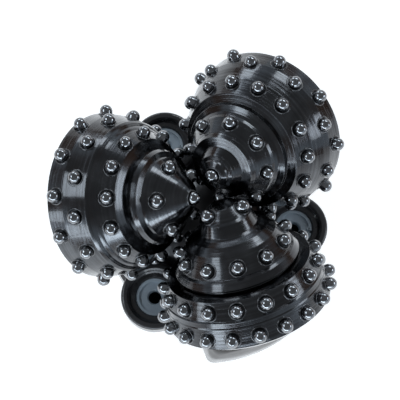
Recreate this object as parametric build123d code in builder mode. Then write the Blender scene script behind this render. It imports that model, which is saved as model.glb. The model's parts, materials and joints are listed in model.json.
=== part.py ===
from build123d import *
from collections import namedtuple
from math import cos, radians, sin, sqrt
import os

# A 12 1/4 inch tungsten carbide insert tricone bit. It stands on the end of its pin, cones up.
# The origin is the centre of the water bore at the end of the pin, and +Z points to the cones.
# Lengths are millimetres and angles are degrees.

# ---------------------------------------------------------------- whole bit
gage_diameter = 311.15
journal_angle = 36.0
cone_offset = 8.7
journal_rise = 257.0
cone_azimuths = (180.0, 60.0, -60.0)
running_gap = 0.05
press_gap = 0.02

# ---------------------------------------------------------------- pin, API 6 5/8 regular
pin_length = 127.0
pin_large_diameter = 152.197
pin_taper = 1 / 6
thread_height = 3.75
relief_diameter = 150.37
relief_length = 12.7
pin_chamfer = 4.0
water_bore_diameter = 88.9

# ---------------------------------------------------------------- shank, crown and shirttails
shank_diameter = 197.0
shoulder_bevel = 5.5
shank_length = 31.0
crown_radius = 108.0
crown_height = 95.0
crown_bevel_width = 12.0
crown_bevel_height = 14.0
dome_height = 119.0
dome_waist_radius = 32.4
dome_waist_height = 113.0
dome_foot_radius = 60.5
plenum_radius = 52.0
plenum_height = 69.0
plenum_waist_radius = 37.5
plenum_waist_drop = 7.5
plenum_wall_drop = 24.0
plenum_floor_height = 23.0
bore_height = 11.0
seam_lag = 28.5
seam_groove_depth = 6.0
seam_groove_half_width = 5.0
gage_relief = 3.5
arm_flare_start = 28.0
arm_half_width_root = 44.0
arm_half_width = 54.0
arm_tip_half_width = 50.0
arm_shoulder_height = 88.0
arm_tip_start = 173.0
arm_tip_height = 219.0
arm_root_sink = 8.0
arm_edge = 9.0
arm_fillet_arc = 120.0
arm_foot_arc = 76.0

# ---------------------------------------------------------------- journal and its bearings
cone_back = 136.0
leg_face_gap = 0.6
seal_boss_radius = 46.0
seal_boss_length = 10.6
journal_radius = 41.0
journal_length = 28.0
bushing_wall = 5.0
ball_radius = 7.94
ball_pitch_radius = 38.0
ball_station = 88.0
ball_count = 14
ball_land_radius = 37.9
thrust_station = 76.0
thrust_washer_thickness = 3.0
nose_pin_radius = 21.0
nose_pin_length = 22.7
nose_bushing_wall = 4.0
thrust_button_radius = 14.0
thrust_button_thickness = 4.0
gland_depth = 8.0
gland_length = 7.9
ball_hole_angle = 40.0
nose_pin_chamfer = 1.5
cavity_clearance = 0.3

# ---------------------------------------------------------------- inserts
insert_radius = 6.5
gage_station = 121.2
hole_relief = 0.4

# ---------------------------------------------------------------- nozzles
nozzle_azimuth_lag = 68.0
nozzle_pitch_radius = 98.0
boss_radius = 36.5
boss_height = 109.0
boss_root_radius = 22.0
boss_root_pitch = 78.0
boss_root_height = 20.0
boss_waist_radius = 33.0
boss_waist_pitch = 92.0
boss_waist_height = 56.0
boss_shoulder_height = 84.0
boss_edge = 3.5
recess_radius = 28.0
recess_depth = 8.0
recess_bevel = 2.0
nozzle_radius = 20.0
nozzle_length = 32.0
nozzle_sink = 5.0
nozzle_inlet_radius = 15.0
nozzle_throat_radius = 7.0
nozzle_throat_length = 10.0
nozzle_lead = 1.5
chamber_depth = 14.0
chamber_bevel = 4.0
passage_inset = 12.0
passage_drop = 30.0
nozzle_ring_thickness = 2.2
nozzle_ring_width = 4.6
nozzle_ring_bite = 1.6
o_ring_depth = 2.5
o_ring_width = 3.8
passage_radius = 13.0

# ---------------------------------------------------------------- lubricant reservoirs
reservoir_radius = 22.0
reservoir_inner_radius = 18.5
reservoir_depth = 38.0
reservoir_seat_depth = 12.0
reservoir_spot_radius = 27.0
reservoir_spot_depth = 1.2
cup_wall = 1.5
diaphragm_wall = 1.5
cap_thickness = 4.0
cap_vent_radius = 2.0
cap_ring_thickness = 2.2
cap_ring_width = 3.2
cap_ring_bite = 1.5
cap_dish = 1.5
lube_hole_radius = 3.0
lube_hole_reach = 75.0
groove_clearance = 0.2
hole_overrun = 2.0

# ---------------------------------------------------------------- worked out sizes
Row = namedtuple("Row", "name station radius count first slope grip")

gage_radius = gage_diameter / 2
shoulder = pin_length
axis_height = shoulder + journal_rise
gage_reach = sqrt(gage_radius**2 - cone_offset**2) - insert_radius
gage_row_radius = (gage_reach - gage_station * cos(radians(journal_angle))) / sin(radians(journal_angle))
shirttail_radius = gage_radius - gage_relief
shank_radius = shank_diameter / 2
leg_face = cone_back + leg_face_gap
journal_base = leg_face - seal_boss_length
journal_front = journal_base - journal_length
bushing_radius = journal_radius + bushing_wall
nose_pin_end = thrust_station - nose_pin_length
nose_bore_radius = nose_pin_radius + nose_bushing_wall
boss_top = shoulder + boss_height
recess_floor = boss_top - recess_depth
nozzle_top = recess_floor - nozzle_sink
nozzle_seat = nozzle_top - nozzle_length
cap_top = cup_wall + diaphragm_wall + cap_thickness - reservoir_seat_depth
cap_ring_base = cap_top + 0.1

# Outside of each cone shell, nose first, as (station along the journal axis, radius).
cone_outlines = {
    1: [
        (18, 0), (18, 8.5), (22, 13.5), (27, 20), (48, 39), (50, 40), (52, 45.5), (57, 47.5), (62, 47),
        (64, 44.5), (66.5, 53), (68, 58), (82.5, 67), (84, 69), (86, 70.5), (88, 73.8), (90.5, 75.8),
        (113.5, 82.2), (131, 84.2), (cone_back, 77.5),
    ],
    2: [
        (19.5, 0), (19.5, 9.5), (22, 14), (24, 14.5), (25.5, 18), (35.5, 23.5), (37, 33), (42, 35.5),
        (57, 46), (60, 47), (63, 49), (66, 55), (72, 55), (75, 63.5), (93, 74), (104, 79),
        (112, 82), (131, 84.2), (cone_back, 77.5),
    ],
    3: [
        (18.5, 0), (18.5, 13.5), (28, 23), (30, 26), (41, 29.8), (43, 32.5), (46, 38.5), (52, 45.5),
        (70.5, 56.8), (72, 56.4), (74, 59), (80, 63), (81.5, 62), (82.5, 58.5), (84, 59.5), (85.5, 72.8),
        (103, 79.8), (104, 81.2), (109, 81.6), (110.5, 82.2), (131, 84.2), (cone_back, 77.5),
    ],
}

# Insert rows: dome centre as station and radius, count, angle of the first insert from the top
# of the cone, slope of the land, and how deep the insert is gripped below its dome centre.
cone_rows = {
    1: [
        Row("gage", gage_station, gage_row_radius, 13, -17.8, 2.0, 17.0),
        Row("heel", 101.0, 81.3, 13, -4.5, 16.7, 15.0),
        Row("middle", 72.9, 64.6, 13, -18.3, 31.8, 14.5),
        Row("inner", 36.6, 32.5, 5, -23.5, 40.6, 11.0),
        Row("nose", 16.2, 0.0, 1, 0.0, 90.0, 15.0),
    ],
    2: [
        Row("gage", gage_station, gage_row_radius, 10, 18.5, 2.0, 17.0),
        Row("heel", 110.3, 83.0, 10, 36.5, 17.0, 15.0),
        Row("middle", 84.3, 72.3, 15, 5.6, 30.3, 14.5),
        Row("inner", 50.7, 44.0, 8, 16.8, 35.0, 12.5),
        Row("nose", 17.8, 0.0, 1, 0.0, 90.0, 15.0),
    ],
    3: [
        Row("gage", gage_station, gage_row_radius, 20, 23.8, 2.0, 17.0),
        Row("heel", 94.1, 79.1, 17, 16.8, 20.2, 15.0),
        Row("middle", 61.9, 54.9, 11, 9.1, 31.2, 14.0),
        Row("nose", 21.4, 20.9, 3, -56.3, 45.0, 11.0),
    ],
}


# ---------------------------------------------------------------- directions and planes
def radial(azimuth):
    return Vector(cos(radians(azimuth)), sin(radians(azimuth)), 0)


def tangent(azimuth):
    return Vector(-sin(radians(azimuth)), cos(radians(azimuth)), 0)


def sector_plane(azimuth):
    """Upright plane through the bit axis: local x points out at the azimuth, local y is up."""
    return Plane(origin=(0, 0, 0), x_dir=radial(azimuth), z_dir=-tangent(azimuth))


def journal_plane(azimuth):
    """Local x runs out along the journal axis, and local y is square to it, up and out."""
    outward = radial(azimuth) * cos(radians(journal_angle)) - Vector(0, 0, sin(radians(journal_angle)))
    upward = radial(azimuth) * sin(radians(journal_angle)) + Vector(0, 0, cos(radians(journal_angle)))
    origin = tangent(azimuth) * cone_offset + Vector(0, 0, axis_height)
    return Plane(origin=origin, x_dir=outward, z_dir=outward.cross(upward))


def nozzle_plane(azimuth):
    """Local x runs up the nozzle axis of the leg at the azimuth, from the level of the pin's end."""
    place = azimuth + nozzle_azimuth_lag
    return Plane(origin=radial(place) * nozzle_pitch_radius, x_dir=(0, 0, 1), z_dir=tangent(place))


def reservoir_plane(azimuth):
    """Local x points out of the reservoir, square to the flare of the arm, at its middle."""
    low = Vector(shank_radius, shoulder + arm_flare_start)
    high = Vector(shirttail_radius, shoulder + arm_shoulder_height)
    middle = (low + high) * 0.5
    rise = (high - low).normalized()
    outward = radial(azimuth) * rise.Y - Vector(0, 0, rise.X)
    origin = radial(azimuth) * middle.X + Vector(0, 0, middle.Y)
    return Plane(origin=origin, x_dir=outward, z_dir=tangent(azimuth))


def row_seats(plane, row):
    """Planes at the dome centres of a row, with z out along each insert."""
    seats = []
    for index in range(row.count):
        turn = radians(row.first + index * 360 / row.count)
        out = plane.y_dir * cos(turn) + plane.z_dir * sin(turn)
        centre = plane.origin + plane.x_dir * row.station + out * row.radius
        lean = radians(row.slope)
        seats.append(Plane(origin=centre, z_dir=out * cos(lean) - plane.x_dir * sin(lean)))
    return seats


# ---------------------------------------------------------------- shapes used more than once
def turned(plane, outline):
    """A solid turned about the plane's x axis from an outline of (along, radius) points."""
    with BuildPart() as blank:
        with BuildSketch(plane):
            with BuildLine():
                Polyline(*outline, close=True)
            make_face()
        revolve(axis=Axis(plane.origin, plane.x_dir))
    return blank.part


def ring(plane, start, end, inner, outer):
    """A turned ring or disc of plain rectangular section."""
    return turned(plane, [(start, inner), (end, inner), (end, outer), (start, outer)])


def race(plane):
    """The ball race, a ring of round section that both journal and cone are cut to."""
    with BuildPart() as groove:
        with BuildSketch(plane):
            with Locations((ball_station, ball_pitch_radius)):
                Circle(ball_radius + running_gap)
        revolve(axis=Axis(plane.origin, plane.x_dir))
    return groove.part


def insert_solid(grip):
    """One insert: a gripped cylinder with a round dome, its dome centre at the origin."""
    with BuildPart() as insert:
        with BuildSketch(Plane.XZ):
            with BuildLine():
                Polyline((0, insert_radius), (0, -grip), (insert_radius, -grip), (insert_radius, 0))
                CenterArc((0, 0), insert_radius, 0, 90)
            make_face()
        revolve(axis=Axis.Z)
    return insert.part


def write(solid, name):
    solid.label = name
    export_step(solid, f"parts/{name}.step")


# ---------------------------------------------------------------- legs
def crown(azimuth):
    """A third of the pin, shank and crown, between two weld seams, hollow along the water bore."""
    end_radius = (pin_large_diameter - pin_taper * pin_length) / 2 - thread_height
    thread_top = shoulder - relief_length
    root_radius = (pin_large_diameter - pin_taper * relief_length) / 2 - thread_height
    bore = water_bore_diameter / 2
    plenum_top = shoulder + plenum_height
    crotch = shoulder + crown_height
    flare = crown_radius - shank_radius
    with BuildPart() as third:
        with BuildSketch(sector_plane(azimuth - seam_lag)):
            with BuildLine():
                Line((0, plenum_top), (0, shoulder + dome_height))
                ThreePointArc(
                    (0, shoulder + dome_height),
                    (dome_waist_radius, shoulder + dome_waist_height),
                    (dome_foot_radius, crotch),
                )
                Polyline(
                    (dome_foot_radius, crotch),
                    (crown_radius - crown_bevel_width, crotch),
                    (crown_radius, crotch - crown_bevel_height),
                    (crown_radius, shoulder + shank_length + flare),
                    (shank_radius, shoulder + shank_length),
                    (shank_radius, shoulder + shoulder_bevel),
                    (shank_radius - shoulder_bevel, shoulder),
                    (relief_diameter / 2, shoulder),
                    (relief_diameter / 2, thread_top),
                    (root_radius, thread_top),
                    (end_radius, pin_chamfer),
                    (end_radius - pin_chamfer, 0),
                    (bore, 0),
                    (bore, shoulder + bore_height),
                    (plenum_radius, shoulder + plenum_floor_height),
                    (plenum_radius, plenum_top - plenum_wall_drop),
                )
                ThreePointArc(
                    (plenum_radius, plenum_top - plenum_wall_drop),
                    (plenum_waist_radius, plenum_top - plenum_waist_drop),
                    (0, plenum_top),
                )
            make_face()
        revolve(axis=Axis.Z, revolution_arc=120)
    return third.part


def arm(azimuth):
    """The arm that carries the journal: a rounded shirttail outside, a sloping face inside."""
    journal = journal_plane(azimuth)
    root = water_bore_diameter / 2
    with BuildPart() as tongue:
        with BuildSketch(Plane(radial(azimuth) * root, x_dir=tangent(azimuth), z_dir=radial(azimuth))):
            with BuildLine():
                Polyline(
                    (cone_offset - arm_tip_half_width, shoulder + arm_tip_start),
                    (cone_offset - arm_half_width, shoulder + arm_shoulder_height),
                    (cone_offset - arm_half_width_root, shoulder + arm_flare_start - arm_root_sink),
                    (cone_offset + arm_half_width_root, shoulder + arm_flare_start - arm_root_sink),
                    (cone_offset + arm_half_width, shoulder + arm_shoulder_height),
                    (cone_offset + arm_tip_half_width, shoulder + arm_tip_start),
                )
                ThreePointArc(
                    (cone_offset + arm_tip_half_width, shoulder + arm_tip_start),
                    (cone_offset, shoulder + arm_tip_height),
                    (cone_offset - arm_tip_half_width, shoulder + arm_tip_start),
                )
            make_face()
        extrude(amount=shirttail_radius)
        with BuildSketch(sector_plane(azimuth - arm_fillet_arc / 2)):
            with BuildLine():
                Polyline(
                    (0, shoulder + arm_flare_start),
                    (shank_radius, shoulder + arm_flare_start),
                    (shirttail_radius, shoulder + arm_shoulder_height),
                    (shirttail_radius, axis_height),
                    (0, axis_height),
                    close=True,
                )
            make_face()
        revolve(axis=Axis.Z, revolution_arc=arm_fillet_arc, mode=Mode.INTERSECT)
        side_edges = [edge for edge in tongue.edges() if is_side_edge(edge)]
        fillet(side_edges, radius=arm_edge)
        with BuildSketch(sector_plane(azimuth - seam_lag)):
            with Locations((shirttail_radius / 2, axis_height / 2)):
                Rectangle(shirttail_radius, axis_height)
        revolve(axis=Axis.Z, revolution_arc=arm_foot_arc, mode=Mode.INTERSECT)
        with BuildSketch(Plane(journal.origin + journal.x_dir * leg_face, z_dir=-journal.x_dir)):
            Circle(gage_radius)
        extrude(amount=gage_diameter, mode=Mode.SUBTRACT)
    return tongue.part


def is_side_edge(edge):
    """Is this edge on the outside of the arm, and does it climb?"""
    middle = edge @ 0.5
    outside = sqrt(middle.X**2 + middle.Y**2) > shank_radius + 2
    return outside and abs((edge @ 0).Z - (edge @ 1).Z) > 1


def boss(azimuth):
    """The nozzle boss, an upright drum that leans back into the shank below."""
    sections = [
        (boss_root_pitch, boss_root_height, boss_root_radius),
        (boss_waist_pitch, boss_waist_height, boss_waist_radius),
        (nozzle_pitch_radius, boss_shoulder_height, boss_radius),
    ]
    out = radial(azimuth + nozzle_azimuth_lag)
    with BuildPart() as drum:
        with BuildSketch(Plane(out * nozzle_pitch_radius + Vector(0, 0, shoulder + boss_shoulder_height))):
            Circle(boss_radius)
        extrude(amount=boss_height - boss_shoulder_height)
        top = drum.edges().group_by(Axis.Z)[-1]
        fillet(top, radius=boss_edge)
        for pitch, height, radius in sections:
            with BuildSketch(Plane(out * pitch + Vector(0, 0, shoulder + height))):
                Circle(radius)
        loft()
    return drum.part


def journal_blank(azimuth):
    """The bearing pin that the cone turns on: seal boss, journal, ball land and nose pin."""
    root = leg_face + seal_boss_length
    return turned(journal_plane(azimuth), [
        (root, 0), (root, seal_boss_radius), (journal_base, seal_boss_radius), (journal_base, journal_radius),
        (journal_front, journal_radius), (journal_front, ball_land_radius),
        (thrust_station, ball_land_radius), (thrust_station, nose_pin_radius),
        (nose_pin_end + nose_pin_chamfer, nose_pin_radius),
        (nose_pin_end, nose_pin_radius - nose_pin_chamfer), (nose_pin_end, 0),
    ])


def ball_hole_plane(azimuth):
    """Where the ball hole meets the race under the journal: local z runs out to the shirttail."""
    journal = journal_plane(azimuth)
    start = journal.origin + journal.x_dir * ball_station - journal.y_dir * ball_pitch_radius
    tilt = radians(ball_hole_angle)
    return Plane(start, z_dir=journal.x_dir * cos(tilt) + journal.y_dir * sin(tilt))


def nozzle_cuts(azimuth):
    """The recess, nozzle bore, ring grooves and inlet chamber of a boss, turned as one tool."""
    bore = nozzle_radius + running_gap
    chamber_end = nozzle_seat - chamber_depth
    ring_groove = nozzle_radius + nozzle_ring_bite + running_gap
    ring_base = nozzle_top + groove_clearance
    ring_end = ring_base + nozzle_ring_thickness + groove_clearance
    o_ring_groove = nozzle_radius + o_ring_depth + running_gap
    o_ring_base = nozzle_seat + nozzle_length * 0.4
    o_ring_end = o_ring_base + o_ring_width + groove_clearance
    mouth = recess_radius + recess_bevel
    return turned(nozzle_plane(azimuth), [
        (chamber_end, 0), (chamber_end, nozzle_inlet_radius - chamber_bevel),
        (chamber_end + chamber_bevel, nozzle_inlet_radius), (nozzle_seat, nozzle_inlet_radius),
        (nozzle_seat, bore), (o_ring_base, bore), (o_ring_base, o_ring_groove), (o_ring_end, o_ring_groove),
        (o_ring_end, bore), (ring_base, bore), (ring_base, ring_groove), (ring_end, ring_groove),
        (ring_end, bore), (recess_floor, bore + nozzle_lead), (recess_floor, recess_radius - recess_bevel),
        (recess_floor + recess_bevel, recess_radius), (boss_top - recess_bevel, recess_radius),
        (boss_top, mouth), (boss_top + hole_overrun, mouth), (boss_top + hole_overrun, 0),
    ])


def reservoir_cuts(azimuth):
    """The stepped reservoir bore with its snap ring groove and spot face, turned as one tool."""
    ring_top = cap_ring_base + cap_ring_thickness + groove_clearance / 2
    ring_base = cap_ring_base - groove_clearance / 2
    return turned(reservoir_plane(azimuth), [
        (-reservoir_depth, 0), (-reservoir_depth, reservoir_inner_radius),
        (-reservoir_seat_depth, reservoir_inner_radius), (-reservoir_seat_depth, reservoir_radius),
        (ring_base, reservoir_radius), (ring_base, reservoir_radius + cap_ring_bite + running_gap),
        (ring_top, reservoir_radius + cap_ring_bite + running_gap), (ring_top, reservoir_radius),
        (-reservoir_spot_depth, reservoir_radius), (-reservoir_spot_depth, reservoir_spot_radius),
        (reservoir_spot_radius, reservoir_spot_radius), (reservoir_spot_radius, 0),
    ])


def seam_groove(azimuth, shrink):
    """The V of a weld seam down the shank at the azimuth, less a skin when it is the bead."""
    low = shoulder + shoulder_bevel
    depth = seam_groove_depth - shrink
    half = seam_groove_half_width - shrink
    with BuildPart() as wedge:
        foot = radial(azimuth) * shank_radius + Vector(0, 0, low)
        with BuildSketch(Plane(foot, x_dir=radial(azimuth), z_dir=(0, 0, 1))):
            with BuildLine():
                Polyline((-0.2, -half), (-depth, 0), (-0.2, half))
                ThreePointArc((-0.2, half), (1.0, 0), (-0.2, -half))
            make_face()
        extrude(amount=shank_length - shoulder_bevel - 1)
    return wedge.part


def leg_blank(azimuth):
    with BuildPart() as blank:
        add(crown(azimuth))
        add(arm(azimuth))
        add(boss(azimuth))
        add(journal_blank(azimuth))
        add(race(journal_plane(azimuth)), mode=Mode.SUBTRACT)
    return blank.part


def leg(azimuth, blank):
    place = azimuth + nozzle_azimuth_lag
    chamber = radial(place) * nozzle_pitch_radius + Vector(0, 0, nozzle_seat - hole_overrun)
    plenum = radial(place) * (plenum_radius - passage_inset)
    plenum += Vector(0, 0, shoulder + plenum_height - passage_drop)
    reservoir = reservoir_plane(azimuth)
    lube_start = reservoir.origin - reservoir.x_dir * (reservoir_depth - hole_overrun)
    lube_end = ball_hole_plane(azimuth).origin + ball_hole_plane(azimuth).z_dir * lube_hole_reach
    with BuildPart() as finished:
        add(blank)
        add(nozzle_cuts(azimuth), mode=Mode.SUBTRACT)
        add(reservoir_cuts(azimuth), mode=Mode.SUBTRACT)
        with BuildSketch(Plane(plenum, z_dir=chamber - plenum)):
            Circle(passage_radius)
        extrude(amount=(chamber - plenum).length, mode=Mode.SUBTRACT)
        with BuildSketch(Plane(lube_start, z_dir=lube_end - lube_start)):
            Circle(lube_hole_radius)
        extrude(amount=(lube_end - lube_start).length, mode=Mode.SUBTRACT)
        with BuildSketch(ball_hole_plane(azimuth)):
            Circle(ball_radius + running_gap * 2)
        extrude(amount=gage_radius, mode=Mode.SUBTRACT)
        add(seam_groove(azimuth - seam_lag, 0), mode=Mode.SUBTRACT)
        add(seam_groove(azimuth - seam_lag + 120, 0), mode=Mode.SUBTRACT)
    return finished.part


def ball_plug(azimuth, blank):
    """The rod that closes the ball hole, its inner end shaped to the race, its head flush outside."""
    with BuildPart() as rod:
        add(blank)
        with BuildSketch(ball_hole_plane(azimuth)):
            Circle(ball_radius + running_gap)
        extrude(amount=gage_radius, mode=Mode.INTERSECT)
    return rod.part


# ---------------------------------------------------------------- nozzles
def nozzle(azimuth):
    return turned(nozzle_plane(azimuth), [
        (nozzle_seat, nozzle_inlet_radius), (nozzle_seat, nozzle_radius - nozzle_lead),
        (nozzle_seat + nozzle_lead, nozzle_radius), (nozzle_top - nozzle_lead, nozzle_radius),
        (nozzle_top, nozzle_radius - nozzle_lead), (nozzle_top, nozzle_throat_radius + nozzle_lead),
        (nozzle_top - nozzle_lead, nozzle_throat_radius),
        (nozzle_top - nozzle_throat_length, nozzle_throat_radius),
    ])


def nozzle_o_ring(azimuth):
    base = nozzle_seat + nozzle_length * 0.4 + 0.1
    inner = nozzle_radius + running_gap / 2
    outer = nozzle_radius + o_ring_depth
    return turned(nozzle_plane(azimuth), [
        (base + 0.8, inner), (base, inner + 0.8), (base, outer - 0.8), (base + 0.8, outer),
        (base + o_ring_width - 0.8, outer), (base + o_ring_width, outer - 0.8),
        (base + o_ring_width, inner + 0.8), (base + o_ring_width - 0.8, inner),
    ])


def split_ring(plane, start, end, inner, outer, gap):
    """A snap ring: a flat ring with a gap, and an eye on each side of the gap."""
    with BuildPart() as snap:
        with BuildSketch(Plane(plane.origin + plane.x_dir * start, z_dir=plane.x_dir)):
            Circle(outer)
            Circle(inner, mode=Mode.SUBTRACT)
            with Locations((inner, gap), (inner, -gap)):
                Circle(gap * 0.8)
            with Locations((inner, 0)):
                Rectangle(outer, gap, mode=Mode.SUBTRACT)
            with Locations((inner - 0.2, gap), (inner - 0.2, -gap)):
                Circle(0.9, mode=Mode.SUBTRACT)
        extrude(amount=end - start)
    return snap.part


def nozzle_snap_ring(azimuth):
    base = nozzle_top + 0.3
    outer = nozzle_radius + nozzle_ring_bite
    return split_ring(
        nozzle_plane(azimuth), base, base + nozzle_ring_thickness, outer - nozzle_ring_width, outer, 3.2
    )


# ---------------------------------------------------------------- reservoirs
def reservoir_cup(azimuth):
    """The can that holds the grease, hung by its flange on the seat in the bore."""
    outer = reservoir_inner_radius - running_gap
    bottom = -reservoir_depth + 0.5
    seat = -reservoir_seat_depth
    return turned(reservoir_plane(azimuth), [
        (bottom, 2.5), (bottom, outer), (seat, outer), (seat, reservoir_radius - running_gap),
        (seat + cup_wall, reservoir_radius - running_gap), (seat + cup_wall, outer - cup_wall),
        (bottom + cup_wall, outer - cup_wall), (bottom + cup_wall, 2.5),
    ])


def diaphragm(azimuth):
    """The rubber bag inside the cup, a cone with a rolled flange."""
    lip = reservoir_radius - running_gap
    base = -reservoir_seat_depth + cup_wall
    outer = reservoir_inner_radius - cup_wall - 0.6
    tip = base - 17
    return turned(reservoir_plane(azimuth), [
        (tip, 0), (tip, outer - 6), (base - 3, outer), (base, outer), (base, lip),
        (base + diaphragm_wall, lip),
        (base + diaphragm_wall, outer - diaphragm_wall), (base - 3, outer - diaphragm_wall),
        (tip + diaphragm_wall, outer - 6 - diaphragm_wall), (tip + diaphragm_wall, 0),
    ])


def reservoir_cap(azimuth):
    """The steel cover over the diaphragm, dished, with a vent to the drilling fluid."""
    lip = reservoir_radius - running_gap
    rim = lip - cap_ring_width - 2
    return turned(reservoir_plane(azimuth), [
        (cap_top - cap_thickness, cap_vent_radius), (cap_top - cap_thickness, lip), (cap_top, lip),
        (cap_top, rim), (cap_top - cap_dish, rim - cap_dish), (cap_top - cap_dish, cap_vent_radius),
    ])


def reservoir_snap_ring(azimuth):
    outer = reservoir_radius + cap_ring_bite
    return split_ring(
        reservoir_plane(azimuth), cap_ring_base, cap_ring_base + cap_ring_thickness,
        outer - cap_ring_width, outer, 3.0,
    )


# ---------------------------------------------------------------- cones and what turns with them
def cone(azimuth, outline, rows):
    """A cone shell, its bearing cavity turned from the mouth inward and its insert holes bored."""
    plane = journal_plane(azimuth)
    thrust_face = thrust_station - thrust_washer_thickness - running_gap * 2
    nose_bore_end = nose_pin_end - cavity_clearance
    gland_start = journal_base + 0.8
    cavity = [
        (cone_back, seal_boss_radius + 1), (gland_start + gland_length, seal_boss_radius + 1),
        (gland_start + gland_length, seal_boss_radius + gland_depth),
        (gland_start, seal_boss_radius + gland_depth), (gland_start, bushing_radius),
        (journal_front, bushing_radius), (journal_front, ball_land_radius + 0.2),
        (thrust_face, ball_land_radius + 0.2), (thrust_face, nose_bore_radius),
        (nose_bore_end, nose_bore_radius), (nose_bore_end, thrust_button_radius + press_gap),
        (nose_bore_end - thrust_button_thickness, thrust_button_radius + press_gap),
        (nose_bore_end - thrust_button_thickness, 0),
    ]
    with BuildPart() as shell:
        add(turned(plane, outline + cavity))
        add(race(plane), mode=Mode.SUBTRACT)
        for row in rows:
            depth = row.grip + hole_relief
            with Locations(*row_seats(plane, row)):
                with Locations((0, 0, (insert_radius - depth) / 2)):
                    Cylinder(insert_radius + press_gap, depth + insert_radius, mode=Mode.SUBTRACT)
    return shell.part


def insert_row(azimuth, row):
    with BuildPart() as inserts:
        with Locations(*row_seats(journal_plane(azimuth), row)):
            add(insert_solid(row.grip))
    return inserts.part


def balls(azimuth):
    plane = journal_plane(azimuth)
    places = []
    for index in range(ball_count):
        turn = radians((index + 0.5) * 360 / ball_count)
        out = plane.y_dir * cos(turn) + plane.z_dir * sin(turn)
        places.append(plane.origin + plane.x_dir * ball_station + out * ball_pitch_radius)
    with BuildPart() as bearing:
        with Locations(*places):
            Sphere(ball_radius)
    return bearing.part


def journal_bushing(azimuth):
    return ring(
        journal_plane(azimuth), journal_front + cavity_clearance, journal_base - cavity_clearance,
        journal_radius + running_gap, bushing_radius - press_gap,
    )


def nose_bushing(azimuth):
    return ring(
        journal_plane(azimuth), nose_pin_end + cavity_clearance,
        thrust_station - thrust_washer_thickness - cavity_clearance,
        nose_pin_radius + running_gap, nose_bore_radius - press_gap,
    )


def thrust_washer(azimuth):
    return ring(
        journal_plane(azimuth), thrust_station - thrust_washer_thickness - running_gap,
        thrust_station - running_gap, nose_pin_radius + 1, ball_land_radius - 0.2,
    )


def thrust_button(azimuth):
    top = nose_pin_end - 0.05
    return ring(journal_plane(azimuth), top - 0.25 - thrust_button_thickness, top, 0, thrust_button_radius)


def cone_seal(azimuth):
    """The packing ring in its gland, with rounded corners, running on the seal boss."""
    start = journal_base + 0.9
    end = start + gland_length - 0.2
    inner = seal_boss_radius + running_gap
    outer = seal_boss_radius + gland_depth - press_gap
    return turned(journal_plane(azimuth), [
        (start + 2, inner), (end - 2, inner), (end, inner + 2), (end, outer - 2), (end - 2, outer),
        (start + 2, outer), (start, outer - 2), (start, inner + 2),
    ])


# ---------------------------------------------------------------- build
os.makedirs("parts", exist_ok=True)
beads = []
o_rings = []
nozzle_rings = []
cap_rings = []
for number, azimuth in enumerate(cone_azimuths, 1):
    blank = leg_blank(azimuth)
    write(leg(azimuth, blank), f"leg_{number}")
    write(ball_plug(azimuth, blank), f"ball_plug_{number}")
    write(nozzle(azimuth), f"nozzle_{number}")
    write(reservoir_cup(azimuth), f"reservoir_cup_{number}")
    write(diaphragm(azimuth), f"diaphragm_{number}")
    write(reservoir_cap(azimuth), f"reservoir_cap_{number}")
    write(cone(azimuth, cone_outlines[number], cone_rows[number]), f"cone_{number}")
    for row in cone_rows[number]:
        write(insert_row(azimuth, row), f"{row.name}_inserts_{number}")
    write(balls(azimuth), f"balls_{number}")
    write(journal_bushing(azimuth), f"journal_bushing_{number}")
    write(nose_bushing(azimuth), f"nose_bushing_{number}")
    write(thrust_washer(azimuth), f"thrust_washer_{number}")
    write(thrust_button(azimuth), f"thrust_button_{number}")
    write(cone_seal(azimuth), f"cone_seal_{number}")
    beads.append(seam_groove(azimuth - seam_lag, running_gap))
    o_rings.append(nozzle_o_ring(azimuth))
    nozzle_rings.append(nozzle_snap_ring(azimuth))
    cap_rings.append(reservoir_snap_ring(azimuth))
write(Compound(children=beads), "weld_beads")
write(Compound(children=o_rings), "nozzle_o_rings")
write(Compound(children=nozzle_rings), "nozzle_snap_rings")
write(Compound(children=cap_rings), "reservoir_snap_rings")
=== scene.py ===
import json
import math

import bpy
import numpy as np
from mathutils import Matrix, Vector
from mathutils.bvhtree import BVHTree


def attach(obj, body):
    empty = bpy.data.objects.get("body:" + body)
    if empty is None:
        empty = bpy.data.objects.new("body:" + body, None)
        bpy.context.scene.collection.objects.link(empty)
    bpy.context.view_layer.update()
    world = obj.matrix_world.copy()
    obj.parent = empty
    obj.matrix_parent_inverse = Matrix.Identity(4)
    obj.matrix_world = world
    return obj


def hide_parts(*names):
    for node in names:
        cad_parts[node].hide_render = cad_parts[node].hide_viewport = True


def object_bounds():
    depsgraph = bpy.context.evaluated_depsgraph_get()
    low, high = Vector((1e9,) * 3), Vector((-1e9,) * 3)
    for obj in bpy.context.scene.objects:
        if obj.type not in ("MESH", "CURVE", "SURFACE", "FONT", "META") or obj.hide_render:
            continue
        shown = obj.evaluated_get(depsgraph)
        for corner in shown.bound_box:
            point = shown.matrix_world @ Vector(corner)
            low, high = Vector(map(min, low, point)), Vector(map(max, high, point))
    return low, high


# Finishes, thread, hole lips and weld ripples of a tricone bit. Lengths are metres.
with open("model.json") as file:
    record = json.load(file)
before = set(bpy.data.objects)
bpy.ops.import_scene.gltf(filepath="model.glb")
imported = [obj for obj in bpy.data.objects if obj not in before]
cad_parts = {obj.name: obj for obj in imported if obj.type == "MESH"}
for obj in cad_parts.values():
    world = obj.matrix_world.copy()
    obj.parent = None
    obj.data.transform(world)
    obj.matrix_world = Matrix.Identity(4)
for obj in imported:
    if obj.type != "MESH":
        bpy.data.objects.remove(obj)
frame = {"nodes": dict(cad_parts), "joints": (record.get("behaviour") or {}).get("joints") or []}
cad_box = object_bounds()
nodes = frame["nodes"]
MM = 0.001

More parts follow.
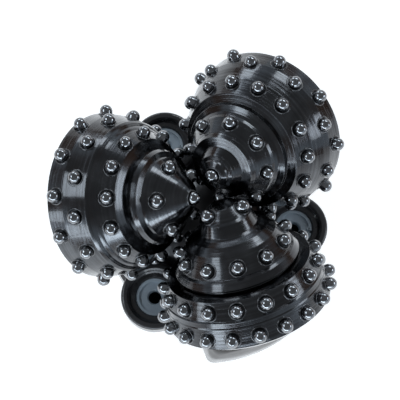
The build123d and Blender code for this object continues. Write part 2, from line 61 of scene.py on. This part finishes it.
# ---------------------------------------------------------------- sizes of what is added here
THREAD_PITCH = 6.35 * MM
THREAD_HEIGHT = 3.75 * MM
THREAD_TAPER = 1 / 12
PIN_ROOT_RADIUS = 61.765 * MM
PIN_CHAMFER = 4.0 * MM
THREAD_TOP = 114.3 * MM
SHOULDER = 127.0 * MM

INSERT_RADIUS = 6.5 * MM
LIP_INNER = 6.56 * MM
LIP_CREST = 7.95 * MM
LIP_OUTER = 8.9 * MM
LIP_HEIGHT = 0.42 * MM

WELD_LOW = 133.0 * MM
WELD_HIGH = 157.0 * MM
WELD_RADIUS = 98.5 * MM
WELD_HALF_WIDTH = 5.4 * MM
WELD_RISE = 1.5 * MM
WELD_RIPPLE = 2.6 * MM
SEAM_LAG = 28.5

# name, azimuth, elevation, distance, size, radiance, colour
SOFTBOXES = [
    ("front_softbox", -86, 13, 1.5, (1.7, 0.32), 6.5, (0.8, 0.91, 1.0)),
    ("front_left_softbox", 228, 14, 1.5, (0.8, 0.28), 5.0, (0.8, 0.91, 1.0)),
    ("right_softbox", 8, 24, 1.5, (0.6, 0.34), 4.5, (0.82, 0.91, 1.0)),
    ("left_softbox", 187, 44, 1.5, (0.7, 0.4), 4.5, (0.82, 0.92, 1.0)),
    ("rear_left_softbox", 120, 16, 1.5, (0.5, 0.32), 4.5, (0.82, 0.92, 1.0)),
    ("rear_softbox", 80, 34, 1.6, (0.7, 0.34), 5.0, (0.86, 0.94, 1.0)),
]
PANEL_SIZE = 0.55
BROWN_WALL = (0.2, 0.135, 0.105)
COOL_WALL = (0.62, 0.72, 0.82)
CEILING = (0.19, 0.2, 0.21)
FLOOR_GLOW = 0.55

LEG_AZIMUTHS = {"leg_1": 180.0, "leg_2": 60.0, "leg_3": -60.0}
CONE_JOINTS = {joint["child"]: joint for joint in frame["joints"] if joint["child"].startswith("cone")}


# ---------------------------------------------------------------- shader maths
class Value:
    """A socket of a shader under construction, with arithmetic that adds Math nodes."""

    def __init__(self, paint, socket):
        self.paint = paint
        self.socket = socket

    def math(self, operation, first, second):
        return self.paint.node("ShaderNodeMath", {"operation": operation}, {0: first, 1: second})

    def __add__(self, other):
        return self.math("ADD", self, other)

    def __sub__(self, other):
        return self.math("SUBTRACT", self, other)

    def __rsub__(self, other):
        return self.math("SUBTRACT", other, self)

    def __mul__(self, other):
        return self.math("MULTIPLY", self, other)

    __radd__ = __add__
    __rmul__ = __mul__


class Shading:
    """The nodes of one material or of the world, made by short calls."""

    def __init__(self, owner, coordinate):
        owner.use_nodes = True
        self.tree = owner.node_tree
        self.tree.nodes.clear()
        self.point = self.node("ShaderNodeTexCoord", output=coordinate)

    def node(self, kind, settings=None, inputs=None, output=0):
        """Any node: its settings first, then the values or links of its sockets."""
        made = self.tree.nodes.new(kind)
        for name, value in (settings or {}).items():
            if name == "stops":
                self.stops(made.color_ramp, value)
            else:
                setattr(made, name, value)
        for key, value in (inputs or {}).items():
            self.feed(made.inputs[key], value)
        return Value(self, made.outputs[output])

    def stops(self, ramp, stops):
        while len(ramp.elements) < len(stops):
            ramp.elements.new(0.5)
        for element, (place, colour) in zip(ramp.elements, stops):
            element.position = place
            element.color = (*colour, 1.0)

    def feed(self, socket, value):
        if isinstance(value, Value):
            self.tree.links.new(value.socket, socket)
        else:
            socket.default_value = value

    def vector(self, operation, first, second=(0, 0, 0), output=0):
        return self.node("ShaderNodeVectorMath", {"operation": operation}, {0: first, 1: second}, output)

    def scaled(self, vector, factor):
        return self.node("ShaderNodeVectorMath", {"operation": "SCALE"}, {0: vector, "Scale": factor})

    def noise(self, size, detail=3.0, vector=None):
        """Soft noise from 0 to 1 whose largest blots are about size across."""
        return self.node(
            "ShaderNodeTexNoise", {"noise_dimensions": "3D"},
            {"Vector": vector or self.point, "Scale": 1 / size, "Detail": detail},
        )

    def lines(self, along, pitch, detail=2.0):
        """Noise from 0 to 1 that changes only with the number along."""
        return self.node("ShaderNodeTexNoise", {"noise_dimensions": "1D"},
                         {"W": along * (1 / pitch), "Scale": 1.0, "Detail": detail})

    def between(self, value, low, high, start=0.0, end=1.0):
        """start below low, end above high, and a smooth step from one to the other."""
        return self.node(
            "ShaderNodeMapRange", {"interpolation_type": "SMOOTHSTEP"},
            {"Value": value, "From Min": low, "From Max": high, "To Min": start, "To Max": end},
        )

    def mixed(self, factor, first, second):
        return self.node("ShaderNodeMix", {"data_type": "RGBA"},
                         {0: factor, 6: (*first, 1.0) if isinstance(first, tuple) else first,
                          7: (*second, 1.0) if isinstance(second, tuple) else second}, 2)

    def seen(self):
        """1 for what is seen directly, mirrored or through glass, 0 for light on its way to a surface."""
        found = self.node("ShaderNodeLightPath", output="Is Camera Ray")
        for kind in ("Is Glossy Ray", "Is Transmission Ray"):
            found = found.math("MAXIMUM", found, self.node("ShaderNodeLightPath", output=kind))
        return found

    def bump(self, height, distance, strength=1.0, normal=None):
        inputs = {"Height": height, "Distance": distance, "Strength": strength}
        if normal is not None:
            inputs["Normal"] = normal
        return self.node("ShaderNodeBump", None, inputs)

    def soft_edges(self, radius):
        """The surface's normal with sharp edges rounded over by radius."""
        return self.node("ShaderNodeBevel", {"samples": 4}, {"Radius": radius})

    def about(self, origin, axis):
        """Where the point lies about an axis: how far along, how far out, and the way round."""
        from_origin = self.vector("SUBTRACT", self.point, origin)
        along = self.vector("DOT_PRODUCT", from_origin, axis, "Value")
        way_round = self.vector("CROSS_PRODUCT", axis, from_origin)
        out = self.vector("LENGTH", way_round, output="Value")
        turned = self.node(
            "ShaderNodeVectorTransform",
            {"vector_type": "VECTOR", "convert_from": "OBJECT", "convert_to": "WORLD"},
            {0: self.vector("NORMALIZE", way_round)},
        )
        return along, out, turned

    def lathe_marks(self, normal, way_round, tilt):
        """The normal leaned by tilt across the way round, as fine turning grooves lean it."""
        across = self.vector("CROSS_PRODUCT", normal, way_round)
        leaned = self.vector("ADD", normal, self.scaled(across, tilt))
        return self.vector("NORMALIZE", leaned)


class Paint(Shading):
    """A material made of one Principled shader and the nodes that feed it."""

    def __init__(self, name, **look):
        self.material = bpy.data.materials.new(name)
        super().__init__(self.material, "Object")
        output = self.tree.nodes.new("ShaderNodeOutputMaterial")
        self.shader = self.tree.nodes.new("ShaderNodeBsdfPrincipled")
        self.tree.links.new(self.shader.outputs[0], output.inputs[0])
        for socket, value in look.items():
            self.shader.inputs[socket.replace("_", " ")].default_value = value

    def set(self, name, value):
        self.feed(self.shader.inputs[name], value)


# ---------------------------------------------------------------- materials
def turned_steel(name, origin, axis):
    """Black lacquered cone steel: turning grooves about the cone's axis under a clear coat."""
    paint = Paint(name, Metallic=1.0, Coat_Weight=0.6, Coat_Roughness=0.06, Coat_IOR=1.45)
    along, out, way_round = paint.about(origin, axis)
    profile = along + out * 0.7
    drift = paint.noise(30 * MM, 2.0) * (0.5 * MM)
    fine = paint.lines(profile + drift, 0.55 * MM, 3.0)
    broad = paint.lines(profile, 3.2 * MM, 1.0)
    tilt = (fine - 0.5) * 0.7 + (broad - 0.5) * 0.16
    normal = paint.lathe_marks(paint.soft_edges(1.1 * MM), way_round, tilt)
    paint.set("Normal", normal)
    cloud = paint.noise(22 * MM, 4.0)
    paint.set("Roughness", paint.between(cloud, 0.3, 0.75, 0.13, 0.21) + (fine - 0.5) * 0.08)
    shade = paint.between(cloud + (broad - 0.5) * 0.5, 0.3, 0.8)
    paint.set("Base Color", paint.mixed(shade, (0.046, 0.047, 0.051), (0.088, 0.092, 0.099)))
    return paint.material


def leg_steel():
    """Black enamel over forged steel: turned on the pin and shank, glossy on the crown, duller up the arms."""
    paint = Paint("leg_steel", Specular_IOR_Level=0.12, Coat_Roughness=0.1, Coat_IOR=1.5)
    along, out, way_round = paint.about((0, 0, 0), (0, 0, 1))
    turned = paint.between(along, 157 * MM, 159 * MM, 1.0, 0.0)
    arm = paint.between(along, 225 * MM, 275 * MM)
    marks = (paint.lines(along + out * 0.8, 0.6 * MM, 3.0) - 0.5) * 0.4 * turned
    forged = paint.noise(7 * MM, 5.0) + paint.noise(1.4 * MM, 3.0) * 0.25
    normal = paint.lathe_marks(paint.soft_edges(1.1 * MM), way_round, marks)
    paint.set("Normal", paint.bump(forged * (1.0 - turned), 0.35 * MM, 0.35, normal))
    paint.set("Metallic", 0.5 - arm * 0.3)
    paint.set("Coat Weight", 0.6 - arm * 0.48)
    cloud = paint.noise(35 * MM, 4.0)
    paint.set("Roughness", paint.between(cloud, 0.3, 0.75, 0.24, 0.36) + arm * 0.14)
    enamel = paint.mixed(cloud, (0.034, 0.033, 0.034), (0.062, 0.062, 0.066))
    scale = paint.mixed(cloud, (0.034, 0.031, 0.03), (0.066, 0.06, 0.057))
    paint.set("Base Color", paint.mixed(arm, enamel, scale))
    return paint.material


def carbide():
    """Polished tungsten carbide, faintly grained."""
    paint = Paint("carbide", Metallic=1.0, Coat_Weight=0.0)
    grain = paint.noise(0.9 * MM, 4.0)
    paint.set("Base Color", paint.mixed(paint.between(grain, 0.35, 0.7), (0.2, 0.205, 0.215), (0.33, 0.34, 0.355)))
    paint.set("Roughness", paint.between(paint.noise(3 * MM, 3.0), 0.35, 0.7, 0.06, 0.12))
    paint.set("Normal", paint.bump(grain, 0.05 * MM, 0.5))
    return paint.material


def lip_steel():
    """The upset rim round an insert hole: painted shade, near black, down in the hole and on the rim by its edge,
    and a lighter crest that is in part a painted highlight.
    """
    paint = Paint("lip_steel", Metallic=1.0)
    painted_hole_shade = paint.node("ShaderNodeAttribute", {"attribute_name": "hole_shade"}, output="Fac")
    # crest colour: the rim's own tone, made lighter than the land in part as a painted highlight
    crest = paint.mixed(paint.noise(4 * MM, 3.0), (0.07, 0.07, 0.072), (0.16, 0.164, 0.172))
    # near black where hole_shade is 1: painted shade in and around the hole
    paint.set("Base Color", paint.mixed(painted_hole_shade, crest, (0.003, 0.003, 0.004)))
    paint.set("Roughness", 0.2 + painted_hole_shade * 0.5)
    paint.set("Coat Weight", 0.4 - painted_hole_shade * 0.4)
    paint.set("Normal", paint.bump(paint.noise(1.2 * MM, 3.0), 0.1 * MM, 0.5))
    return paint.material


def nozzle_carbide():
    """The nozzle's ground face, pale and matt."""
    paint = Paint("nozzle_carbide", Metallic=0.15)
    cloud = paint.noise(9 * MM, 4.0)
    paint.set("Base Color", paint.mixed(cloud, (0.36, 0.43, 0.5), (0.55, 0.63, 0.7)))
    paint.set("Roughness", paint.between(cloud, 0.3, 0.7, 0.42, 0.6))
    paint.set("Normal", paint.bump(paint.noise(0.8 * MM, 4.0), 0.06 * MM, 0.5))
    return paint.material


def thread_steel():
    """Phosphated thread steel, brighter on the crests."""
    paint = Paint("thread_steel", Metallic=0.9)
    along, out, way_round = paint.about((0, 0, 0), (0, 0, 1))
    crest = out - along * THREAD_TAPER
    worn = paint.between(crest + (paint.noise(6 * MM, 4.0) - 0.5) * (1.2 * MM),
                         PIN_ROOT_RADIUS + THREAD_HEIGHT * 0.75, PIN_ROOT_RADIUS + THREAD_HEIGHT * 1.1)
    paint.set("Base Color", paint.mixed(worn, (0.06, 0.062, 0.066), (0.3, 0.3, 0.31)))
    paint.set("Roughness", paint.between(worn, 0.0, 1.0, 0.48, 0.3))
    marks = (paint.lines(along, 0.3 * MM, 3.0) - 0.5) * 0.25
    paint.set("Normal", paint.lathe_marks(paint.node("ShaderNodeNewGeometry", output="Normal"), way_round, marks))
    return paint.material


def weld_metal():
    """Weld bead, straw and blue in places under the lacquer."""
    paint = Paint("weld_metal", Metallic=0.95, Coat_Weight=0.3, Coat_Roughness=0.15)
    cloud = paint.noise(6 * MM, 4.0)
    paint.set("Base Color", paint.mixed(cloud, (0.09, 0.085, 0.085), (0.19, 0.17, 0.15)))
    paint.set("Roughness", paint.between(cloud, 0.3, 0.7, 0.26, 0.42))
    paint.set("Normal", paint.bump(paint.noise(1.0 * MM, 4.0), 0.15 * MM, 0.5))
    return paint.material


def plain_finish(name, colours, metallic, roughness, grain):
    """A finish for the inner pieces: two shades in clouds over a fine grain."""
    paint = Paint(name, Metallic=metallic)
    cloud = paint.noise(8 * MM, 4.0)
    paint.set("Base Color", paint.mixed(cloud, *colours))
    paint.set("Roughness", paint.between(cloud, 0.3, 0.7, roughness * 0.85, roughness * 1.15))
    paint.set("Normal", paint.bump(paint.noise(grain, 3.0), 0.06 * MM, 0.5))
    return paint.material


def dress(material, *names):
    for name in names:
        for slot in nodes[name].material_slots:
            slot.material = material


def finish_nodes():
    steel = {}
    for body, joint in CONE_JOINTS.items():
        steel[body] = turned_steel(f"turned_steel_{body[-1]}", tuple(joint["pos_m"]), tuple(joint["axis"]))
        dress(steel[body], body)
    leg = leg_steel()
    shiny = carbide()
    seal = plain_finish("seal_rubber", ((0.012, 0.012, 0.013), (0.03, 0.03, 0.03)), 0.0, 0.55, 0.8 * MM)
    brass = plain_finish("bearing_bronze", ((0.42, 0.25, 0.12), (0.52, 0.34, 0.17)), 1.0, 0.28, 0.6 * MM)
    bright = plain_finish("bright_steel", ((0.5, 0.5, 0.51), (0.6, 0.6, 0.61)), 1.0, 0.2, 0.5 * MM)
    spring = plain_finish("spring_steel", ((0.12, 0.12, 0.125), (0.2, 0.2, 0.21)), 1.0, 0.3, 0.5 * MM)
    for name in nodes:
        if name.startswith(("leg_", "ball_plug", "reservoir_cap")):
            dress(leg, name)
        elif "_inserts_" in name:
            dress(shiny, name)
        elif name in ("nozzle_1", "nozzle_2", "nozzle_3"):
            dress(nozzle_face, name)
        elif name.startswith(("diaphragm", "cone_seal", "nozzle_o_rings")):
            dress(seal, name)
        elif "bushing" in name or name.startswith("thrust"):
            dress(brass, name)
        elif name.startswith(("balls", "reservoir_cup")):
            dress(bright, name)
        elif name == "nozzle_snap_rings":
            dress(nozzle_face, name)
        elif name == "reservoir_snap_rings":
            dress(spring, name)


# ---------------------------------------------------------------- meshes
def grid_mesh(name, points, material, body, close_across=False):
    """A smooth surface through an array of points (rings, points in a ring, 3), closed along each ring.

    With close_across the last ring joins the first as well, which makes a ring of tube.
    Faces run ring to ring, so that they point outwards when each ring turns anticlockwise
    about the way in which the rings advance."""
    rings, count = points.shape[:2]
    index = np.arange(rings * count).reshape(rings, count)
    if close_across:
        index = np.vstack([index, index[:1]])
    low, high = index[:-1], index[1:]
    faces = np.stack([low, np.roll(low, -1, 1), np.roll(high, -1, 1), high], axis=-1).reshape(-1, 4)
    return solid_mesh(name, points.reshape(-1, 3), faces, material, body)


def solid_mesh(name, vertices, faces, material, body):
    mesh = bpy.data.meshes.new(name)
    mesh.vertices.add(len(vertices))
    mesh.vertices.foreach_set("co", np.asarray(vertices, np.float32).ravel())
    mesh.loops.add(faces.size)
    mesh.loops.foreach_set("vertex_index", faces.ravel().astype(np.int32))
    mesh.polygons.add(len(faces))
    mesh.polygons.foreach_set("loop_start", np.arange(0, faces.size, faces.shape[1], dtype=np.int32))
    mesh.polygons.foreach_set("use_smooth", np.ones(len(faces), bool))
    mesh.update(calc_edges=True)
    mesh.materials.append(material)
    piece = bpy.data.objects.new(name, mesh)
    bpy.context.scene.collection.objects.link(piece)
    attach(piece, body)
    return piece


def pin_thread():
    """The tapered V thread, from the root cone to its crests.

    Radius = root + height * v(turns), where turns = z / pitch - angle / 360 degrees and v is a
    trapezoid wave: 60 degree flanks between a narrow flat crest and a narrow flat root. The height
    fades to nothing over the first and the last turn. The inside is a plain cone under the root."""
    turns_high = (THREAD_TOP - 1.0 * MM - PIN_CHAMFER) / THREAD_PITCH
    height = np.linspace(PIN_CHAMFER, THREAD_TOP - 1.0 * MM, int(turns_high * 12))
    angle = np.linspace(0, 2 * math.pi, 128, endpoint=False)
    z, turn = np.meshgrid(height, angle, indexing="ij")
    phase = (z / THREAD_PITCH - turn / (2 * math.pi)) % 1.0
    wave = np.clip(1.28 - np.abs(phase - 0.5) * 3.1, 0.0, 1.0)
    fade = np.clip((z - PIN_CHAMFER) / THREAD_PITCH, 0, 1) * np.clip((THREAD_TOP - z) / THREAD_PITCH, 0, 1)
    root = PIN_ROOT_RADIUS + z * THREAD_TAPER
    radius = root + 0.02 * MM + THREAD_HEIGHT * wave * fade
    radius[0] = root[0] - 0.4 * MM
    radius[-1] = root[-1] - 0.4 * MM
    outer = np.stack([radius * np.cos(turn), radius * np.sin(turn), z], axis=-1)
    inside = root[[-1, 0]] - 1.0 * MM
    inner = np.stack([inside * np.cos(turn[:2]), inside * np.sin(turn[:2]), z[[-1, 0]]], axis=-1)
    return grid_mesh("pin_thread", np.concatenate([outer, inner]), thread_finish, "body", True)


def node_points(name):
    mesh = nodes[name].data
    points = np.zeros(len(mesh.vertices) * 3, np.float32)
    mesh.vertices.foreach_get("co", points)
    return points.reshape(-1, 3).astype(float)


def square_to(direction):
    """Two unit vectors square to a direction and to each other, right-handed with it."""
    side = np.cross(direction, (0.0, 0.0, 1.0) if abs(direction[2]) < 0.9 else (1.0, 0.0, 0.0))
    side /= np.linalg.norm(side)
    return side, np.cross(direction, side)


def solid_numbers(name):
    """For each point of a node's mesh, a number shared by all the points of the same solid."""
    mesh = nodes[name].data
    edges = np.zeros(len(mesh.edges) * 2, np.int32)
    mesh.edges.foreach_get("vertices", edges)
    cells = np.round(node_points(name) / 1e-7).astype(np.int64)
    place = np.unique(cells, axis=0, return_inverse=True)[1].ravel()
    first, second = place[edges.reshape(-1, 2)].T
    label = np.arange(place.max() + 1)
    while True:
        lowest = np.minimum(label[first], label[second])
        spread = label.copy()
        np.minimum.at(spread, first, lowest)
        np.minimum.at(spread, second, lowest)
        spread = spread[spread]
        if (spread == label).all():
            return label[place]
        label = spread


def insert_seats(name):
    """Dome centre and outward direction of each insert of a row, read from the row's own mesh.

    Each insert is one solid. Its length gives the direction. Its domed end is the one with the
    closer-set points, which is the end nearer to their mean."""
    points, numbers = node_points(name), solid_numbers(name)
    seats = []
    for number in np.unique(numbers):
        solid = points[numbers == number]
        mean = solid.mean(0)
        frame_axes = np.linalg.svd(solid - mean, full_matrices=False)[2]
        reach = (solid - mean) @ frame_axes.T
        low, high = reach.min(0), reach.max(0)
        sign = 1.0 if high[0] < -low[0] else -1.0
        tip = max(high[0] * sign, low[0] * sign)
        out = frame_axes[0] * sign
        middle = mean + frame_axes[1:].T @ ((low + high)[1:] / 2)
        seats.append((middle + out * (tip - INSERT_RADIUS), out))
    return seats


def surface_of(name):
    mesh = nodes[name].data
    return BVHTree.FromPolygons([v.co for v in mesh.vertices], [p.vertices for p in mesh.polygons])


def hole_lips(body):
    """A low upset rim round every insert hole of a cone, laid on the cone's own surface.

    Each rim is a ring whose section climbs from the hole's edge to a crest and runs out to the land.
    The ring's foot follows the land: each of its points is dropped along the insert on to the cone."""
    shell = surface_of(body)
    angle = np.linspace(0, 2 * math.pi, 28, endpoint=False)
    radii = np.array([LIP_INNER, LIP_INNER, LIP_INNER + 0.75 * MM, LIP_CREST, LIP_OUTER, LIP_CREST])
    rises = np.array([-0.5 * MM, 0.04 * MM, 0.1 * MM, LIP_HEIGHT, -0.06 * MM, -0.9 * MM])
    # painted shade for each ring of the section, read by lip_steel: 1 down in the hole and at its edge, 0 from the
    # crest out
    painted_shades = np.array([1.0, 1.0, 0.85, 0.0, 0.0, 0.0])
    vertices, faces = [], []
    rows = [n for n in nodes if n.endswith(f"_inserts_{body[-1]}")]
    for row in sorted(rows):
        for centre, out in insert_seats(row):
            side, up = square_to(out)
            ways = np.outer(np.cos(angle), side) + np.outer(np.sin(angle), up)
            drops = np.array([land_drop(shell, centre + way * LIP_CREST, out) for way in ways])
            drops = np.clip(drops, np.median(drops) - 1.2 * MM, np.median(drops) + 1.2 * MM)
            rings = [centre + ways * r + np.outer(drops + rise, out) for r, rise in zip(radii, rises)]
            base = len(vertices) * len(radii) * len(angle)
            vertices.append(np.concatenate(rings))
            index = np.arange(len(radii) * len(angle)).reshape(len(radii), -1) + base
            index = np.vstack([index, index[:1]])
            low, high = index[:-1], index[1:]
            faces.append(np.stack([low, high, np.roll(high, -1, 1), np.roll(low, -1, 1)], -1).reshape(-1, 4))
    name = f"hole_lips_{body[-1]}"
    lips = solid_mesh(name, np.concatenate(vertices), np.concatenate(faces), lip_finish, body)
    # the hole_shade attribute carries this painted shade to the lip material
    shade = lips.data.attributes.new("hole_shade", "FLOAT", "POINT")
    shade.data.foreach_set("value", np.tile(np.repeat(painted_shades, len(angle)), len(vertices)).astype(np.float32))
    return lips


def land_drop(shell, point, out):
    """How far the land lies from a point by the dome's centre, measured outwards along the insert."""
    start = Vector(point + out * 12 * MM)
    hit = shell.ray_cast(start, Vector(-out), 24 * MM)[0]
    return (np.array(hit) - point) @ out if hit is not None else -2.5 * MM


def weld_ripples():
    """The three weld beads down the shank, each a row of overlapping crescent ripples.

    Across the bead the height is a half cosine. Along it the height falls back from each ripple's
    front as a saw tooth, and the front lags towards the edges by a parabola, which bends the ripples."""
    across = np.linspace(-1, 1, 17)
    along = np.linspace(0, 1, 90)
    t, u = np.meshgrid(along, across, indexing="ij")
    z = WELD_LOW + (WELD_HIGH - WELD_LOW) * t
    saw = ((z + WELD_RIPPLE * 0.55 * u**2) / WELD_RIPPLE) % 1.0
    crown = np.sqrt(np.clip(1 - u**2, 0, 1))
    ends = np.clip(np.minimum(t, 1 - t) * 12, 0, 1) ** 0.5
    rise = (WELD_RISE * crown * (0.72 + 0.28 * np.sin(saw * math.pi) ** 0.7)) * ends - 0.25 * MM
    width = WELD_HALF_WIDTH * (1 + 0.06 * np.sin(t * 37) + 0.04 * np.sin(t * 91))
    pieces, joins = [], []
    for azimuth in LEG_AZIMUTHS.values():
        place = math.radians(azimuth - SEAM_LAG)
        turn = place + u * width / WELD_RADIUS
        face = np.stack([(WELD_RADIUS + rise) * np.cos(turn), (WELD_RADIUS + rise) * np.sin(turn), z], -1)
        back = np.stack([(WELD_RADIUS - 3 * MM) * np.cos(turn[:, ::-1]),
                         (WELD_RADIUS - 3 * MM) * np.sin(turn[:, ::-1]), z], -1)
        ring = np.concatenate([face, back], axis=1)
        rings, count = ring.shape[:2]
        base = sum(len(p) for p in pieces)
        index = np.arange(rings * count).reshape(rings, count) + base
        low, high = index[:-1], index[1:]
        joins.append(np.stack([low, np.roll(low, -1, 1), np.roll(high, -1, 1), high], -1).reshape(-1, 4))
        half = count // 2
        for row, flip in ((index[0], True), (index[-1], False)):
            cap = np.stack([row[:half - 1], row[1:half], row[::-1][1:half], row[::-1][:half - 1]], -1)
            joins.append(cap[:, ::-1] if flip else cap)
        pieces.append(ring.reshape(-1, 3))
    bead = solid_mesh("weld_ripples", np.concatenate(pieces), np.concatenate(joins), weld_finish, "body")
    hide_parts("weld_beads")
    return bead


# ---------------------------------------------------------------- studio
def floor():
    half = 5.0
    mesh = bpy.data.meshes.new("floor")
    mesh.from_pydata([(-half, -half, 0), (half, -half, 0), (half, half, 0), (-half, half, 0)], [], [(0, 1, 2, 3)])
    paint = Paint("floor_paper", Roughness=0.9, Emission_Strength=1.0)
    paint.set("Emission Color", paint.mixed(paint.seen(), (0, 0, 0), (FLOOR_GLOW, FLOOR_GLOW, FLOOR_GLOW)))
    paint.set("Base Color", paint.mixed(paint.noise(0.4, 2.0), (0.9, 0.9, 0.9), (0.92, 0.92, 0.92)))
    mesh.materials.append(paint.material)
    sheet = bpy.data.objects.new("floor", mesh)
    bpy.context.scene.collection.objects.link(sheet)
    sheet.location.z = cad_box[0].z - 0.1 * MM


def softbox(name, azimuth, elevation, distance, size, radiance, colour):
    """A rectangular lamp that faces the object; its power follows from how bright its face is."""
    turn, climb = math.radians(azimuth), math.radians(elevation)
    way = Vector((math.cos(turn) * math.cos(climb), math.sin(turn) * math.cos(climb), math.sin(climb)))
    lamp = bpy.data.lights.new(name, "AREA")
    lamp.shape = "RECTANGLE"
    lamp.size, lamp.size_y = size
    lamp.energy = radiance * math.pi * size[0] * size[1]
    lamp.color = colour
    box = bpy.data.objects.new(name, lamp)
    bpy.context.scene.collection.objects.link(box)
    box.location = Vector((0, 0, 0.3)) + way * distance
    box.rotation_euler = way.to_track_quat("Z", "Y").to_euler()
    box.visible_camera = False


def room():
    """The room that the steel mirrors: a dim ceiling over walls of brown and cool pale panels."""
    world = bpy.data.worlds.new("studio")
    bpy.context.scene.world = world
    walls = Shading(world, "Generated")
    height = walls.node("ShaderNodeSeparateXYZ", None, {0: walls.point}, "Z")
    panels = walls.between(walls.noise(PANEL_SIZE, 1.0), 0.46, 0.54)
    sides = walls.mixed(panels, BROWN_WALL, COOL_WALL)
    colour = walls.mixed(walls.between(height, 0.15, 0.75), sides, CEILING)
    light = walls.node("ShaderNodeBackground", None, {0: colour})
    output = walls.tree.nodes.new("ShaderNodeOutputWorld")
    walls.tree.links.new(light.socket, output.inputs[0])


def camera():
    """Looks down on the cones, a little from the front, from 1.125 m off the crossing of their axes."""
    target = Vector((0, 0, 0.384))
    right = Vector((0.98059, 0.19336, 0.03247))
    up = Vector((-0.19564, 0.95395, 0.22738))
    back = Vector((0.01299, -0.22932, 0.97327))
    lens = bpy.data.cameras.new("camera")
    lens.lens = 104.84
    lens.sensor_width = 36.0
    lens.shift_x = -0.0231
    lens.shift_y = -0.0248
    view = bpy.data.objects.new("camera", lens)
    bpy.context.scene.collection.objects.link(view)
    turn = Matrix((right, up, back)).transposed()
    view.matrix_world = Matrix.Translation(target + back * 1.125) @ turn.to_4x4()
    bpy.context.scene.camera = view


# ---------------------------------------------------------------- build
nozzle_face = nozzle_carbide()
thread_finish = thread_steel()
lip_finish = lip_steel()
weld_finish = weld_metal()
finish_nodes()
pin_thread()
weld_ripples()
for cone_body in sorted(CONE_JOINTS):
    hole_lips(cone_body)
floor()
for lamp in SOFTBOXES:
    softbox(*lamp)
room()
camera()
bpy.context.scene.view_settings.view_transform = "Standard"
